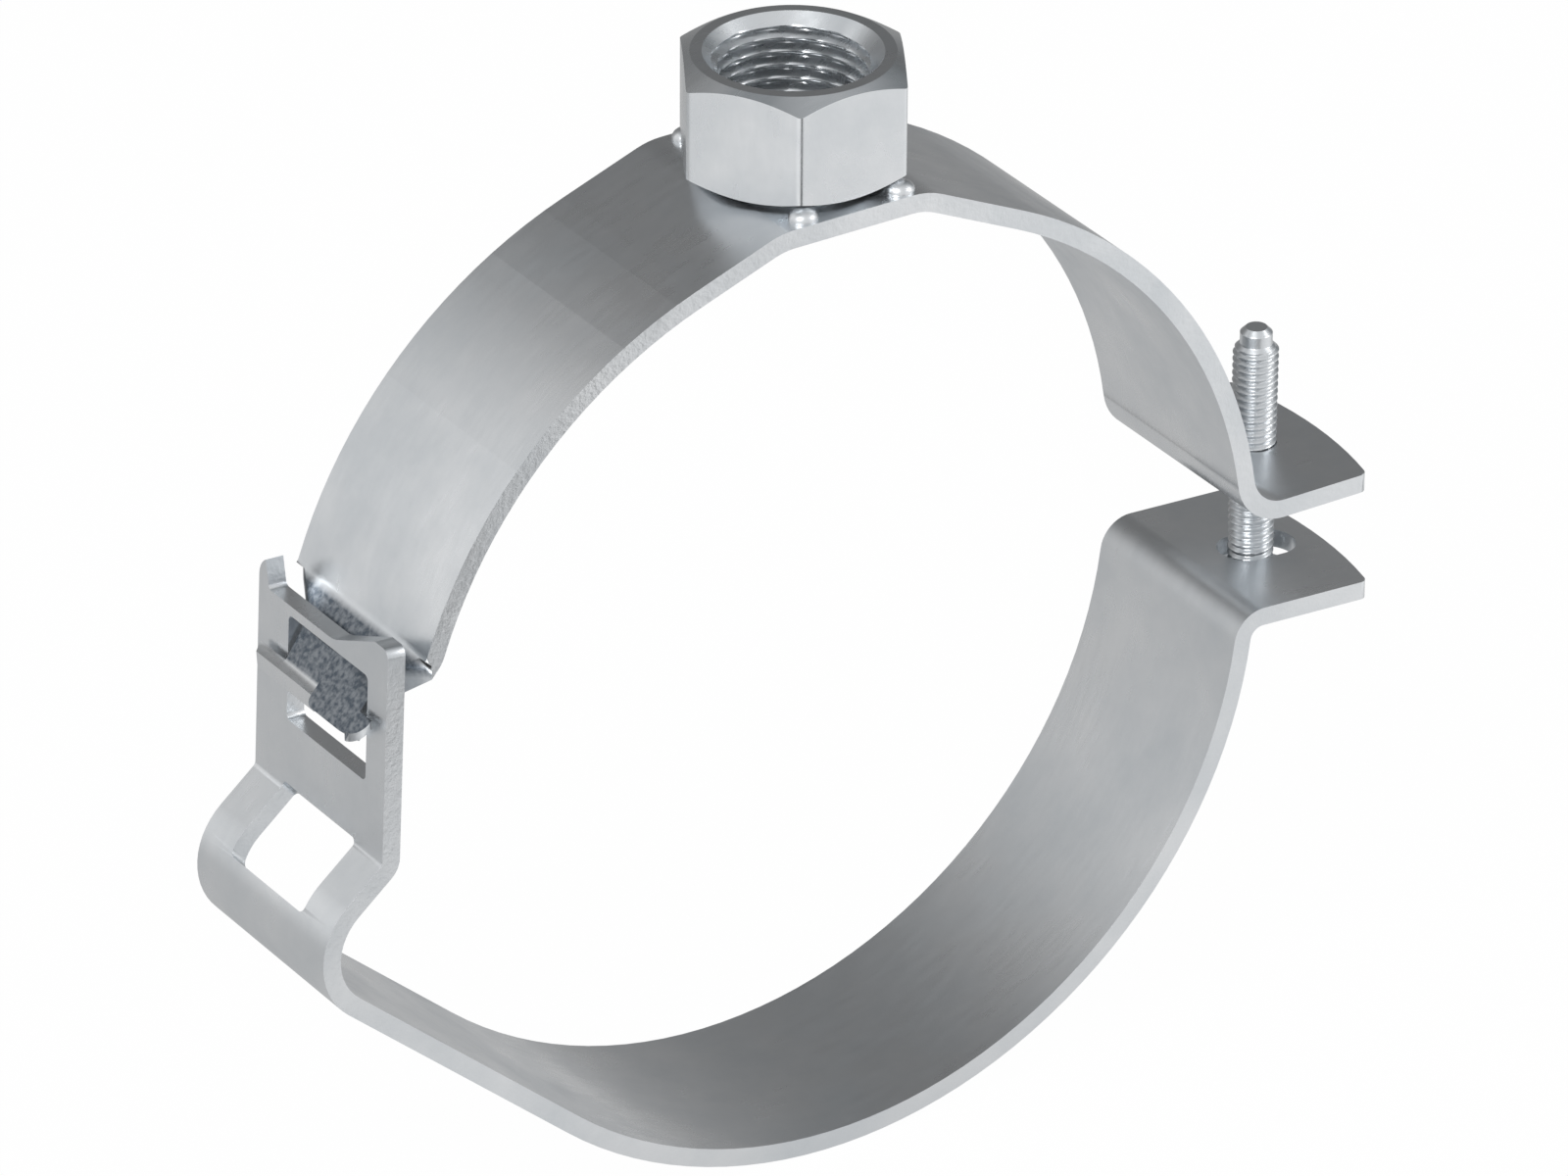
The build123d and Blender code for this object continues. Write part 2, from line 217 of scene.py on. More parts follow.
def turnedWall(tree, turnSteps, rows, shape, crowding=0.0):
    # a grid rolled round z: shape(angle, along) gives radius and height, and along goes from 0 to 1
    grid = tree.nodes.new("GeometryNodeMeshGrid")
    grid.inputs["Size X"].default_value = 1.0
    grid.inputs["Size Y"].default_value = 1.0
    wire(tree, calc(tree, "ADD", turnSteps, 1.0), grid.inputs["Vertices X"])
    grid.inputs["Vertices Y"].default_value = rows
    where = tree.nodes.new("ShaderNodeSeparateXYZ")
    wire(tree, tree.nodes.new("GeometryNodeInputPosition").outputs[0], where.inputs[0])
    even = calc(tree, "MULTIPLY", calc(tree, "ADD", where.outputs["X"], 0.5), 2 * pi)
    crowd = calc(tree, "MULTIPLY", calc(tree, "SINE", calc(tree, "MULTIPLY", even, 6.0)), -crowding / 6.0)
    angle = calc(tree, "ADD", even, crowd)
    radius, height = shape(angle, calc(tree, "ADD", where.outputs["Y"], 0.5))
    spot = tree.nodes.new("ShaderNodeCombineXYZ")
    wire(tree, calc(tree, "MULTIPLY", radius, calc(tree, "COSINE", angle)), spot.inputs["X"])
    wire(tree, calc(tree, "MULTIPLY", radius, calc(tree, "SINE", angle)), spot.inputs["Y"])
    wire(tree, height, spot.inputs["Z"])
    roll = tree.nodes.new("GeometryNodeSetPosition")
    wire(tree, grid.outputs["Mesh"], roll.inputs["Geometry"])
    wire(tree, spot.outputs[0], roll.inputs["Position"])
    return roll.outputs[0]


def flipped(tree, geometry):
    node = tree.nodes.new("GeometryNodeFlipFaces")
    wire(tree, geometry, node.inputs[0])
    return node.outputs[0]


def finishShape(tree, parts, material, weld=0.002 * mm):
    join = tree.nodes.new("GeometryNodeJoinGeometry")
    for part in reversed(parts):
        wire(tree, part, join.inputs[0])
    merge = tree.nodes.new("GeometryNodeMergeByDistance")
    merge.inputs["Distance"].default_value = weld
    realize = tree.nodes.new("GeometryNodeRealizeInstances")
    paint = tree.nodes.new("GeometryNodeSetMaterial")
    paint.inputs["Material"].default_value = material
    wire(tree, join.outputs[0], merge.inputs[0])
    wire(tree, merge.outputs[0], realize.inputs[0])
    wire(tree, realize.outputs[0], paint.inputs["Geometry"])
    wire(tree, paint.outputs[0], tree.nodes.new("NodeGroupOutput").inputs[0])


def grow(name, tree, settings, place):
    # runs the tree on an empty mesh and keeps the result as a plain mesh at its place
    carrier = bpy.data.objects.new(name + "Carrier", bpy.data.meshes.new(name + "Carrier"))
    bpy.context.scene.collection.objects.link(carrier)
    modifier = carrier.modifiers.new("shape", "NODES")
    modifier.node_group = tree
    for item in tree.interface.items_tree:
        if item.in_out == "INPUT" and item.name in settings:
            modifier[item.identifier] = settings[item.name]
    bpy.context.view_layer.update()
    ready = carrier.evaluated_get(bpy.context.evaluated_depsgraph_get())
    mesh = bpy.data.meshes.new_from_object(ready)
    mesh.name = name
    mesh.transform(Matrix.Translation(place))
    bpy.data.objects.remove(carrier)
    piece = bpy.data.objects.new(name, mesh)
    bpy.context.scene.collection.objects.link(piece)
    return piece


def threadWave(tree, angle, height, pitch, crest, root):
    # 0 at the root and 1 at the crest of a right-hand thread, with flats of the given shares of the pitch
    turns = calc(tree, "SUBTRACT", calc(tree, "DIVIDE", height, pitch), calc(tree, "DIVIDE", angle, 2 * pi))
    saw = calc(tree, "FRACT", turns)
    peak = calc(tree, "MULTIPLY", calc(tree, "ABSOLUTE", calc(tree, "SUBTRACT", saw, 0.5)), 2.0)
    return clampedRange(tree, peak, root, calc(tree, "SUBTRACT", 1.0, crest), 0.0, 1.0)


def shadeByAngle(piece, degrees=35):
    for face in piece.data.polygons:
        face.use_smooth = True
    piece.data.set_sharp_from_angle(angle=radians(degrees))


# hexagon socket with the pipe thread

socketBase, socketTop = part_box("hex_socket")
socketPlace = Vector(((socketBase.x + socketTop.x) / 2, 0.0, socketBase.z))
socketShape = {
    "Across Flats": socketTop.y - socketBase.y,
    "Height": socketTop.z - socketBase.z,
    "Edge Radius": 12.7 * mm,
    "Corner Radius": 0.8 * mm,
    "Thread Radius": 9.315 * mm,
    "Thread Depth": 1.05 * mm,
    "Thread Pitch": 1.814 * mm,
    "Mouth Radius": 11.2 * mm,
    "Turn Steps": 288,
}


def makeSocketTree(sizes, material):
    tree, knobs = startShape("hexSocketShape", sizes)
    height = knobs["Height"]
    edge = knobs["Edge Radius"]
    half = calc(tree, "MULTIPLY", knobs["Across Flats"], 0.5)
    slant = tan(radians(30))

    def hexRadius(angle):
        # distance to a hexagon with rounded corners, one corner on +x
        sector = calc(tree, "PINGPONG", angle, radians(30))
        flat = calc(tree, "DIVIDE", half, calc(tree, "COSINE", calc(tree, "SUBTRACT", radians(30), sector)))
        rounding = knobs["Corner Radius"]
        corner = calc(tree, "DIVIDE", half, cos(radians(30)))
        centre = calc(tree, "SUBTRACT", corner, calc(tree, "DIVIDE", rounding, cos(radians(30))))
        sideways = calc(tree, "MULTIPLY", centre, calc(tree, "SINE", sector))
        inside = calc(tree, "SUBTRACT", calc(tree, "POWER", rounding, 2.0), calc(tree, "POWER", sideways, 2.0))
        root = calc(tree, "SQRT", calc(tree, "MAXIMUM", inside, 0.0))
        arc = calc(tree, "MULTIPLY_ADD", centre, calc(tree, "COSINE", sector), root)
        reach = calc(tree, "MULTIPLY_ADD", rounding, cos(radians(30)), centre)
        limit = calc(tree, "ARCTANGENT", calc(tree, "DIVIDE", calc(tree, "MULTIPLY", rounding, 0.5), reach))
        onCorner = calc(tree, "LESS_THAN", sector, limit)
        return pick(tree, onCorner, flat, arc)

    def outside(angle, along):
        hexagon = hexRadius(angle)
        chamfer = calc(tree, "MULTIPLY", calc(tree, "SUBTRACT", hexagon, edge), slant)
        low = clampedRange(tree, along, 0.0, 0.2, 0.0, chamfer)
        straight = calc(tree, "SUBTRACT", height, calc(tree, "MULTIPLY", chamfer, 2.0))
        middle = clampedRange(tree, along, 0.2, 0.8, 0.0, straight)
        high = clampedRange(tree, along, 0.8, 1.0, 0.0, chamfer)
        z = calc(tree, "ADD", calc(tree, "ADD", low, middle), high)
        nearEnd = calc(tree, "MINIMUM", z, calc(tree, "SUBTRACT", height, z))
        cone = calc(tree, "ADD", edge, calc(tree, "DIVIDE", nearEnd, slant))
        return calc(tree, "MINIMUM", hexagon, cone), z

    def inside(angle, along):
        z = calc(tree, "MULTIPLY", along, height)
        wave = threadWave(tree, angle, z, knobs["Thread Pitch"], 0.16, 0.12)
        thread = calc(tree, "ADD", knobs["Thread Radius"], calc(tree, "MULTIPLY", wave, knobs["Thread Depth"]))
        mouth = calc(tree, "SUBTRACT", knobs["Mouth Radius"], calc(tree, "SUBTRACT", height, z))
        return calc(tree, "MAXIMUM", thread, mouth), z

    def topFace(angle, along):
        inwards = calc(tree, "SUBTRACT", knobs["Mouth Radius"], edge)
        return calc(tree, "ADD", edge, calc(tree, "MULTIPLY", along, inwards)), height

    def bottomFace(angle, along):
        bore, low = inside(angle, 0.0)
        return calc(tree, "ADD", bore, calc(tree, "MULTIPLY", along, calc(tree, "SUBTRACT", edge, bore))), 0.0

    steps = knobs["Turn Steps"]
    crowding = 0.55
    finishShape(tree, [
        turnedWall(tree, steps, 26, outside, crowding),
        flipped(tree, turnedWall(tree, steps, 121, inside, crowding)),
        turnedWall(tree, steps, 5, topFace, crowding),
        turnedWall(tree, steps, 3, bottomFace, crowding)], material)
    return tree


socketPiece = grow("threadedSocket", makeSocketTree(socketShape, socketZinc), socketShape, socketPlace)
shadeByAngle(socketPiece, 24)
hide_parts("hex_socket")
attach(socketPiece, "upper")
print("socket:", len(socketPiece.data.polygons), "faces")


# closing screw

screwLow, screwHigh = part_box("closing_screw")
screwAxis = Vector(((screwLow.x + screwHigh.x) / 2, 0.0, 0.0))
screwShape = {
    "Length": 35.0 * mm,
    "Radius": 2.96 * mm,
    "Thread Depth": 0.42 * mm,
    "Thread Pitch": 1.0 * mm,
    "Dog Radius": 2.1 * mm,
    "Dog Length": 2.2 * mm,
    "Dog Chamfer": 0.7 * mm,
    "Turn Steps": 64,
}


def makeShankTree(sizes, material):
    tree, knobs = startShape("screwShankShape", sizes)
    length = knobs["Length"]

    def shank(angle, along):
        z = calc(tree, "MULTIPLY", along, length)
        wave = threadWave(tree, angle, z, knobs["Thread Pitch"], 0.12, 0.2)
        cut = calc(tree, "MULTIPLY", calc(tree, "SUBTRACT", 1.0, wave), knobs["Thread Depth"])
        thread = calc(tree, "SUBTRACT", knobs["Radius"], cut)
        left = calc(tree, "SUBTRACT", length, z)
        past = calc(tree, "MAXIMUM", calc(tree, "SUBTRACT", left, knobs["Dog Length"]), 0.0)
        shoulder = calc(tree, "ADD", knobs["Dog Radius"], past)
        tip = calc(tree, "ADD", calc(tree, "SUBTRACT", knobs["Dog Radius"], knobs["Dog Chamfer"]), left)
        return calc(tree, "MINIMUM", thread, calc(tree, "MINIMUM", shoulder, tip)), z

    def end(angle, along):
        rim = calc(tree, "SUBTRACT", knobs["Dog Radius"], knobs["Dog Chamfer"])
        return calc(tree, "MULTIPLY", calc(tree, "SUBTRACT", 1.0, along), rim), length

    finishShape(tree, [
        turnedWall(tree, knobs["Turn Steps"], 491, shank),
        turnedWall(tree, knobs["Turn Steps"], 4, end)], material)
    return tree


def mergedCopy(node, name):
    # a CAD node's mesh is loose triangles: welded, with flat areas joined into single faces
    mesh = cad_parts[node].data.copy()
    mesh.name = name
    work = bmesh.new()
    work.from_mesh(mesh)
    bmesh.ops.remove_doubles(work, verts=work.verts, dist=0.001 * mm)
    bmesh.ops.dissolve_limit(work, angle_limit=radians(0.3), verts=work.verts, edges=work.edges)
    return mesh, work


def placed(name, mesh):
    piece = bpy.data.objects.new(name, mesh)
    bpy.context.scene.collection.objects.link(piece)
    return piece


def applyModifiers(piece):
    bpy.context.view_layer.update()
    ready = piece.evaluated_get(bpy.context.evaluated_depsgraph_get())
    mesh = bpy.data.meshes.new_from_object(ready)
    piece.modifiers.clear()
    piece.data = mesh


screwHead = {"height": 4.0 * mm, "rounding": 0.25 * mm, "segments": 2, "sunk": 0.01 * mm}
headTop = screwLow.z + screwHead["height"]
shankPlace = screwAxis + Vector((0, 0, headTop))
shankPiece = grow("screwShank", makeShankTree(screwShape, screwZinc), screwShape, shankPlace)
headMesh, work = mergedCopy("closing_screw", "screwHead")
everything = work.verts[:] + work.edges[:] + work.faces[:]
cutPoint = (0, 0, headTop - screwHead["sunk"])
bmesh.ops.bisect_plane(work, geom=everything, plane_co=cutPoint, plane_no=(0, 0, 1), clear_outer=True)
rim = [edge for edge in work.edges if edge.is_boundary]
bmesh.ops.holes_fill(work, edges=rim)
work.to_mesh(headMesh)
work.free()
headPiece = placed("screwHead", headMesh)
rounding = headPiece.modifiers.new("rounding", "BEVEL")
rounding.width = screwHead["rounding"]
rounding.segments = screwHead["segments"]
rounding.limit_method = "ANGLE"
rounding.angle_limit = radians(25)
applyModifiers(headPiece)
for piece in (shankPiece, headPiece):
    shadeByAngle(piece)
    piece.data.materials.clear()
    piece.data.materials.append(screwZinc)
    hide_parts("closing_screw")
    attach(piece, "screw")
print("screw:", len(shankPiece.data.polygons), "faces")


# bent strips

stripEdge = {"rounding": 0.28 * mm, "segments": 3, "bevelFrom": 35, "sharpFrom": 40, "faceWeight": 90}


def pairedShape(name, upper, lower):
    # closed shape between two outlines with equally many points, in millimetres
    work = bmesh.new()
    top = [work.verts.new(Vector(spot) * mm) for spot in upper]
    bottom = [work.verts.new(Vector(spot) * mm) for spot in lower]
    work.faces.new(top)
    work.faces.new(reversed(bottom))
    for index in range(len(top)):
        after = (index + 1) % len(top)
        work.faces.new((top[index], bottom[index], bottom[after], top[after]))
    bmesh.ops.recalc_face_normals(work, faces=work.faces)
    mesh = bpy.data.meshes.new(name)
    work.to_mesh(mesh)
    work.free()
    return placed(name, mesh)


def trimBy(piece, point, outward):
    # cut away what lies outside a plane and close the cut
    work = bmesh.new()
    work.from_mesh(piece.data)
    everything = work.verts[:] + work.edges[:] + work.faces[:]
    bmesh.ops.bisect_plane(work, geom=everything, plane_co=Vector(point) * mm, plane_no=outward,
                           clear_outer=True)
    bmesh.ops.holes_fill(work, edges=[edge for edge in work.edges if edge.is_boundary])
    bmesh.ops.recalc_face_normals(work, faces=work.faces)
    work.to_mesh(piece.data)
    work.free()


# the end of the hook, in millimetres and degrees: a narrow far arm along the plate, and a rounded near lobe
hookEnd = {
    "tongueTop": (-60.253, 20.196),
    "heading": 229.0,
    "thickness": 2.5,
    "cutX": -64.0,
    "startX": -63.5,
    "splitY": -0.9,
    "neckY": (-10.15, 7.45),
    "armX": -66.5,
    "farReach": 13.2,
    "farLine": ((-66.4, 12.0, 237.0), (-66.9, 11.55, 210.0), (-67.9, 11.35, 188.0)),
    "farCorner": 1.1,
    "lobeLength": 13.0,
    "lobeReach": -12.8,
    "lobeRound": (3.4, 4.2),
    "lobeInnerRound": 1.3,
    "earDrop": 1.1,
}


def onTongue(x, below=0.0):
    # height of the tongue's upper face at x, or of its lower face
    startX, startZ = hookEnd["tongueTop"]
    slope = tan(radians(hookEnd["heading"]))
    drop = hookEnd["thickness"] / -cos(radians(hookEnd["heading"])) * below
    return startZ + (x - startX) * slope - drop


def farArmParts():
    # lines of the far arm's upper face: x, z and heading of each bend
    start = (hookEnd["startX"], onTongue(hookEnd["startX"]), hookEnd["heading"])
    line = (start,) + hookEnd["farLine"]
    thick = hookEnd["thickness"]
    profile = [(x, z) for x, z, heading in line]
    profile += [(x + thick * cos(radians(heading + 90)), z + thick * sin(radians(heading + 90)))
                for x, z, heading in reversed(line)]
    parts = []
    for name, reach in (("farNeck", hookEnd["neckY"][1]), ("farArm", hookEnd["farReach"])):
        parts.append(pairedShape(name, [(x, reach, z) for x, z in profile],
                                 [(x, hookEnd["splitY"], z) for x, z in profile]))
    trimBy(parts[1], (hookEnd["armX"], 0, 0), (1, 0, 0))
    tipX = hookEnd["farLine"][-1][0]
    trimBy(parts[1], (tipX + hookEnd["farCorner"], hookEnd["farReach"], 0), (-1, 1, 0))
    return parts


def lobeParts():
    tilt = cos(radians(hookEnd["heading"]))
    startX = hookEnd["tongueTop"][0]
    neckY = hookEnd["neckY"][0]
    alongRound, acrossRound = hookEnd["lobeRound"]
    inner = hookEnd["lobeInnerRound"]
    length, reach, split = (hookEnd[key] for key in ("lobeLength", "lobeReach", "splitY"))
    begin = (hookEnd["startX"] - startX) / tilt
    armStart = (hookEnd["armX"] - 0.05 - startX) / tilt

    def onRound(turn):
        return (length - alongRound + alongRound * sin(turn), reach + acrossRound - acrossRound * cos(turn))

    neckTurn = acos((reach + acrossRound - neckY) / acrossRound)
    outer = [onRound(neckTurn * step / 8) for step in range(9)]
    rest = [onRound(neckTurn + (pi / 2 - neckTurn) * step / 4) for step in range(5)]
    corner = [(length - inner + inner * cos(turn), split - inner + inner * sin(turn))
              for turn in (radians(90 * step / 4) for step in range(5))]
    lobe = [(begin, split), (begin, neckY)] + rest + corner
    overlap = neckY + 0.3
    ear = [(armStart, overlap), (armStart, reach)] + outer[1:] + [(outer[-1][0], overlap)]
    sheet = Vector((cos(radians(hookEnd["heading"] + 90)), 0.0, sin(radians(hookEnd["heading"] + 90))))
    parts = []
    for name, outline, down in (("nearLobe", lobe, sheet * hookEnd["thickness"]),
                                ("nearEar", ear, Vector((0.0, 0.0, -hookEnd["earDrop"])))):
        upper = [Vector((startX + along * tilt, y, onTongue(startX + along * tilt))) for along, y in outline]
        parts.append(pairedShape(name, upper, [spot + down for spot in upper]))
    return parts


def reshapeHook(piece):
    low, high = hookEnd["cutX"] - 12.0, hookEnd["cutX"]
    square = [(low, -16.0), (high, -16.0), (high, 16.0), (low, 16.0)]
    block = pairedShape("hookCutter", [(x, y, 30.0) for x, y in square], [(x, y, -5.0) for x, y in square])
    steps = [(block, "DIFFERENCE")] + [(part, "UNION") for part in farArmParts() + lobeParts()]
    for tool, operation in steps:
        change = piece.modifiers.new(tool.name, "BOOLEAN")
        change.object = tool
        change.operation = operation
        change.solver = "EXACT"
    applyModifiers(piece)
    for tool, operation in steps:
        bpy.data.objects.remove(tool)
    work = bmesh.new()
    work.from_mesh(piece.data)
    bmesh.ops.remove_doubles(work, verts=work.verts, dist=0.002 * mm)
    bmesh.ops.dissolve_limit(work, angle_limit=radians(0.3), verts=work.verts, edges=work.edges)
    flat = [face for face in work.faces if len(face.verts) > 4]
    bmesh.ops.triangulate(work, faces=flat)
    print("hook end: open edges", len([edge for edge in work.edges if not edge.is_manifold]))
    work.to_mesh(piece.data)
    work.free()


def makeBand(node, name, body, plating, reshape=None):
    mesh, work = mergedCopy(node, name)
    work.to_mesh(mesh)
    work.free()
    piece = placed(name, mesh)
    if reshape:
        reshape(piece)
    soft = piece.modifiers.new("rounding", "BEVEL")
    soft.width = stripEdge["rounding"]
    soft.segments = stripEdge["segments"]
    soft.limit_method = "ANGLE"
    soft.angle_limit = radians(stripEdge["bevelFrom"])
    soft.use_clamp_overlap = True
    applyModifiers(piece)
    shadeByAngle(piece, stripEdge["sharpFrom"])
    even = piece.modifiers.new("flatFaceShading", "WEIGHTED_NORMAL")
    even.keep_sharp = True
    even.weight = stripEdge["faceWeight"]
    applyModifiers(piece)
    piece.data.materials.clear()
    piece.data.materials.append(plating)
    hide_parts(node)
    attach(piece, body)
    print(name + ":", len(piece.data.polygons), "faces")


makeBand("upper_band", "upperBand", "upper", hookedBandZincPaintedShade, reshapeHook)
makeBand("lower_band", "lowerBand", "lower", bandZinc)


# four low beads where the socket is welded on the seat
beadLow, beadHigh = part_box("weld_nubs")
beadFoot = 3.4 * mm
beadSunk = 0.35 * mm
beadShape = {
    "Spread X": beadHigh.x - beadLow.x - beadFoot,
    "Spread Y": beadHigh.y - beadLow.y - beadFoot,
    "Radius": 1.95 * mm,
    "Squash": 0.68,
}


def makeBeadTree(sizes, material):
    tree, knobs = startShape("weldBeadShape", sizes)
    spots = tree.nodes.new("GeometryNodeMeshGrid")
    wire(tree, knobs["Spread X"], spots.inputs["Size X"])
    wire(tree, knobs["Spread Y"], spots.inputs["Size Y"])
    spots.inputs["Vertices X"].default_value = 2
    spots.inputs["Vertices Y"].default_value = 2
    ball = tree.nodes.new("GeometryNodeMeshUVSphere")
    ball.inputs["Segments"].default_value = 20
    ball.inputs["Rings"].default_value = 12
    wire(tree, knobs["Radius"], ball.inputs["Radius"])
    size = tree.nodes.new("ShaderNodeCombineXYZ")
    size.inputs["X"].default_value = 1.0
    size.inputs["Y"].default_value = 0.9
    wire(tree, knobs["Squash"], size.inputs["Z"])
    copies = tree.nodes.new("GeometryNodeInstanceOnPoints")
    wire(tree, spots.outputs["Mesh"], copies.inputs["Points"])
    wire(tree, ball.outputs["Mesh"], copies.inputs["Instance"])
    wire(tree, size.outputs[0], copies.inputs["Scale"])
    finishShape(tree, [copies.outputs[0]], material)
    return tree


beadPlace = Vector(((beadLow.x + beadHigh.x) / 2, 0.0, socketBase.z - beadSunk))
beadPiece = grow("weldBeads", makeBeadTree(beadShape, nubZinc), beadShape, beadPlace)
shadeByAngle(beadPiece, 60)
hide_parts("weld_nubs")
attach(beadPiece, "upper")
print("weld beads:", len(beadPiece.data.polygons), "faces")


# studio

studio = {
    "floorDrop": 0.2 * mm,
    "floorHalf": 4.0,
    "floorGlow": 0.985,
    "skyBright": (0.74, 0.745, 0.75, 1.0),
    "skyDark": (0.19, 0.205, 0.215, 1.0),
    "skyTurn": (-0.72, -0.12),
    "skyFront": (-0.35, 0.25),
    "clothLift": 1.0 * mm,
    "softboxSize": (0.5, 0.5),
    "leftPlace": (-0.7, -0.5, 0.8),
    "leftPower": 5.0,
    "rightPlace": (0.8, -0.6, 0.5),
    "rightPower": 2.0,
}
floorLevel = cadBox[0][2] - studio["floorDrop"]

# a wall behind the object that only the metal mirrors: brightness along x, near the floor and higher up
backWall = {
    "y": 0.30,
    "x": (-0.45, 0.75),
    "height": 0.65,
    "fadeHeight": 0.36,
    "low": ((-0.36, 0.85), (-0.20, 0.42), (-0.12, 0.34), (-0.04, 0.29),
            (0.05, 0.29), (0.20, 0.34), (0.35, 0.42)),
    "high": ((-0.36, 1.15), (-0.20, 0.60), (-0.12, 0.34), (-0.04, 0.22),
             (0.05, 0.17), (0.20, 0.15), (0.35, 0.14)),
}
# a dark cloth on the floor in front, which only the metal mirrors, and how bright the floor is mirrored
frontCloth = {"corner": (-0.10, -0.42), "size": (0.165, 0.272), "brightness": 0.12}
floorMirror = {"behind": 0.55, "front": 0.82, "y": (0.04, -0.05), "far": 0.16, "x": (0.12, 0.22)}


def glowing(tree, colour, strength=1.0):
    node = tree.nodes.new("ShaderNodeEmission")
    node.inputs["Color"].default_value = colour
    node.inputs["Strength"].default_value = strength
    return node.outputs[0]


def emptyMaterial(name):
    material = bpy.data.materials.new(name)
    material.use_nodes = True
    material.node_tree.nodes.clear()
    return material, material.node_tree


def endMaterial(tree, surface):
    wire(tree, surface, tree.nodes.new("ShaderNodeOutputMaterial").inputs["Surface"])


def flatSheet(name, corners, material):
    mesh = bpy.data.meshes.new(name)
    mesh.from_pydata(corners, [], [(0, 1, 2, 3)])
    sheet = placed(name, mesh)
    sheet.data.materials.append(material)
    return sheet


def rampAlong(tree, value, stops, low, high):
    # brightness stops placed by the real coordinate
    ramp = tree.nodes.new("ShaderNodeValToRGB")
    wire(tree, clampedRange(tree, value, low, high, 0.0, 1.0), ramp.inputs["Fac"])
    points = ramp.color_ramp.elements
    while len(points) < len(stops):
        points.new(0.5)
    for point, (where, brightness) in zip(points, stops):
        point.position = (where - low) / (high - low)
        point.color = (brightness, brightness, brightness, 1.0)
    return ramp.outputs["Color"]


def objectXyz(tree):
    split = tree.nodes.new("ShaderNodeSeparateXYZ")
    wire(tree, tree.nodes.new("ShaderNodeTexCoord").outputs["Object"], split.inputs[0])
    return split.outputs


def makeFloor():
    material, tree = emptyMaterial("paleFloor")
    matte = tree.nodes.new("ShaderNodeBsdfDiffuse")
    matte.inputs["Color"].default_value = (0.85, 0.85, 0.85, 1.0)
    rays = tree.nodes.new("ShaderNodeLightPath")
    seen = calc(tree, "MAXIMUM", rays.outputs["Is Camera Ray"], rays.outputs["Is Glossy Ray"])
    seen = calc(tree, "MAXIMUM", seen, rays.outputs["Is Transmission Ray"])
    where = objectXyz(tree)
    front = clampedRange(tree, where["Y"], *floorMirror["y"], 0.0, 1.0)
    near = clampedRange(tree, front, 0.0, 1.0, floorMirror["behind"], floorMirror["front"])
    aside = calc(tree, "ABSOLUTE", where["X"])
    far = clampedRange(tree, aside, *floorMirror["x"], 0.0, floorMirror["far"])
    mirrored = calc(tree, "MULTIPLY_ADD", far, front, near)
    glow = tree.nodes.new("ShaderNodeEmission")
    wire(tree, pick(tree, rays.outputs["Is Glossy Ray"], 1.0, mirrored), glow.inputs["Strength"])
    mix = tree.nodes.new("ShaderNodeMixShader")
    wire(tree, calc(tree, "MULTIPLY", seen, studio["floorGlow"]), mix.inputs[0])
    wire(tree, matte.outputs[0], mix.inputs[1])
    wire(tree, glow.outputs[0], mix.inputs[2])
    endMaterial(tree, mix.outputs[0])
    reach = studio["floorHalf"]
    square = ((-1, -1), (1, -1), (1, 1), (-1, 1))
    flatSheet("studioFloor", [(x * reach, y * reach, floorLevel) for x, y in square], material)


def hideFromAllButMirrors(sheet):
    for rays in ("camera", "diffuse", "transmission", "shadow"):
        setattr(sheet, "visible_" + rays, False)


def makeBackWall():
    material, tree = emptyMaterial("wallPaint")
    where = objectXyz(tree)
    low, high = (rampAlong(tree, where["X"], backWall[key], *backWall["x"]) for key in ("low", "high"))
    blend = tree.nodes.new("ShaderNodeMix")
    blend.data_type = "RGBA"
    rise = clampedRange(tree, where["Z"], floorLevel, floorLevel + backWall["fadeHeight"], 0.0, 1.0)
    wire(tree, rise, blend.inputs["Factor"])
    wire(tree, low, blend.inputs["A"])
    wire(tree, high, blend.inputs["B"])
    glow = tree.nodes.new("ShaderNodeEmission")
    wire(tree, blend.outputs["Result"], glow.inputs["Color"])
    endMaterial(tree, glow.outputs[0])
    left, right = backWall["x"]
    top = floorLevel + backWall["height"]
    wall = flatSheet("backWall", [(left, backWall["y"], floorLevel), (right, backWall["y"], floorLevel),
                                  (right, backWall["y"], top), (left, backWall["y"], top)], material)
    hideFromAllButMirrors(wall)


def makeFrontCloth():
    material, tree = emptyMaterial("clothPaint")
    endMaterial(tree, glowing(tree, (0.96, 1.0, 1.03, 1.0), frontCloth["brightness"]))
    (x, y), (width, depth) = frontCloth["corner"], frontCloth["size"]
    z = floorLevel + studio["clothLift"]
    corners = [(x, y, z), (x + width, y, z), (x + width, y + depth, z), (x, y + depth, z)]
    cloth = flatSheet("frontCloth", corners, material)
    hideFromAllButMirrors(cloth)


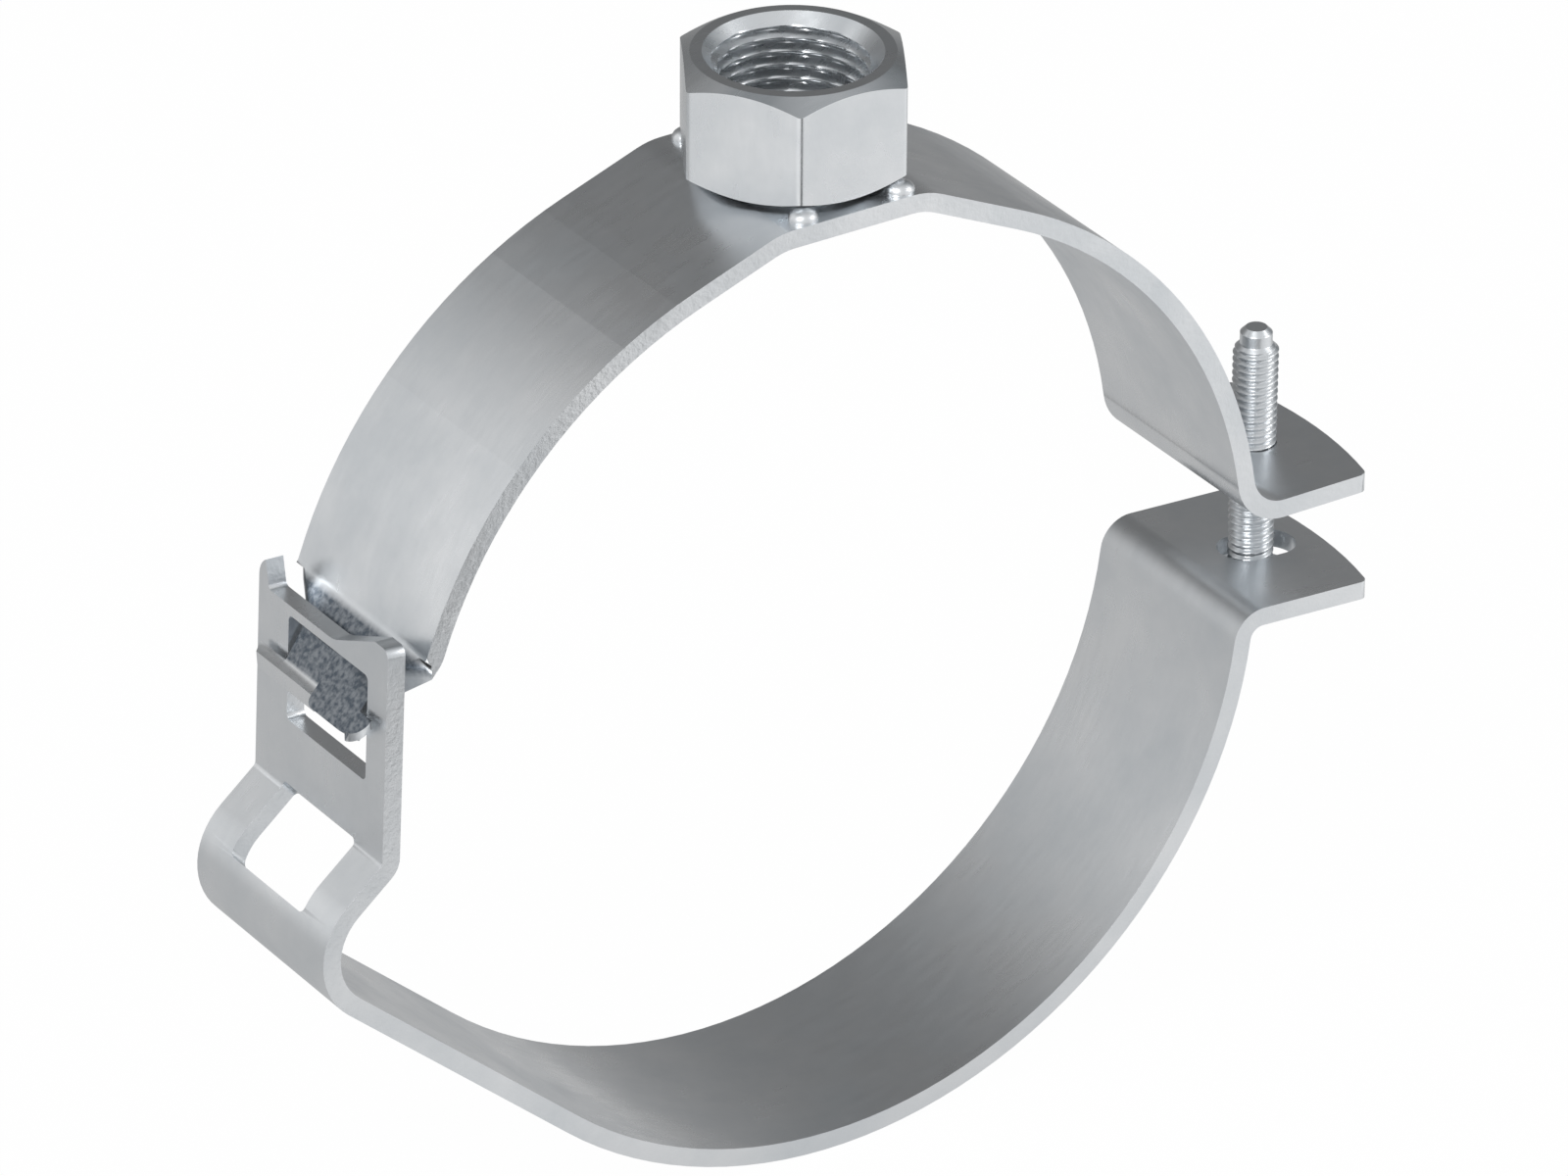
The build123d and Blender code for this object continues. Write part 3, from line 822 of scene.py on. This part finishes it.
def makeSky():
    world = bpy.data.worlds.new("studioSky")
    bpy.context.scene.world = world
    world.use_nodes = True
    tree = world.node_tree
    tree.nodes.clear()
    way = tree.nodes.new("ShaderNodeSeparateXYZ")
    wire(tree, tree.nodes.new("ShaderNodeTexCoord").outputs["Generated"], way.inputs[0])
    # bright at the left, dark behind and at the right, bright again towards the front
    side = clampedRange(tree, way.outputs["X"], *studio["skyTurn"], 0.0, 1.0)
    front = clampedRange(tree, way.outputs["Y"], *studio["skyFront"], 0.0, 1.0)
    shade = tree.nodes.new("ShaderNodeMix")
    shade.data_type = "RGBA"
    wire(tree, calc(tree, "MULTIPLY", side, front), shade.inputs["Factor"])
    shade.inputs["A"].default_value = studio["skyBright"]
    shade.inputs["B"].default_value = studio["skyDark"]
    rays = tree.nodes.new("ShaderNodeLightPath")
    seen = calc(tree, "MAXIMUM", rays.outputs["Is Camera Ray"], rays.outputs["Is Transmission Ray"])
    plain = tree.nodes.new("ShaderNodeMix")
    plain.data_type = "RGBA"
    wire(tree, seen, plain.inputs["Factor"])
    wire(tree, shade.outputs["Result"], plain.inputs["A"])
    plain.inputs["B"].default_value = (1.0, 1.0, 1.0, 1.0)
    light = tree.nodes.new("ShaderNodeBackground")
    wire(tree, plain.outputs["Result"], light.inputs["Color"])
    wire(tree, light.outputs[0], tree.nodes.new("ShaderNodeOutputWorld").inputs["Surface"])


def addSoftbox(name, place, power):
    lamp = bpy.data.lights.new(name, "AREA")
    lamp.shape = "RECTANGLE"
    lamp.size, lamp.size_y = studio["softboxSize"]
    lamp.energy = power
    holder = bpy.data.objects.new(name, lamp)
    holder.location = place
    holder.rotation_euler = Vector(place).to_track_quat("Z", "Y").to_euler()
    bpy.context.scene.collection.objects.link(holder)


makeFloor()
makeBackWall()
makeFrontCloth()
makeSky()
addSoftbox("softboxLeft", studio["leftPlace"], studio["leftPower"])
addSoftbox("softboxRight", studio["rightPlace"], studio["rightPower"])


# camera at the photograph's angle

viewpoint = {
    "azimuth": -33.40,
    "elevation": 28.76,
    "roll": 0.36,
    "lens": 270.0,
    "distance": 1470.0 * mm,
    "sideways": 1.29 * mm,
    "upwards": 4.95 * mm,
}


def makeCamera(view):
    turn, rise, roll = (radians(view[key]) for key in ("azimuth", "elevation", "roll"))
    back = Vector((sin(turn) * cos(rise), -cos(turn) * cos(rise), sin(rise)))
    level = Vector((cos(turn), sin(turn), 0.0))
    upright = back.cross(level)
    right = level * cos(roll) + upright * sin(roll)
    up = upright * cos(roll) - level * sin(roll)
    data = bpy.data.cameras.new("photoView")
    data.sensor_width = 36.0
    data.lens = view["lens"]
    data.clip_start = 0.05
    data.clip_end = 20.0
    camera = bpy.data.objects.new("photoView", data)
    where = back * view["distance"] + right * view["sideways"] + up * view["upwards"]
    turned = Matrix((right, up, back)).transposed().to_4x4()
    camera.matrix_world = Matrix.Translation(where) @ turned
    bpy.context.scene.collection.objects.link(camera)
    bpy.context.scene.camera = camera


makeCamera(viewpoint)
bpy.context.scene.view_settings.view_transform = "Standard"
print("studio and camera ready")
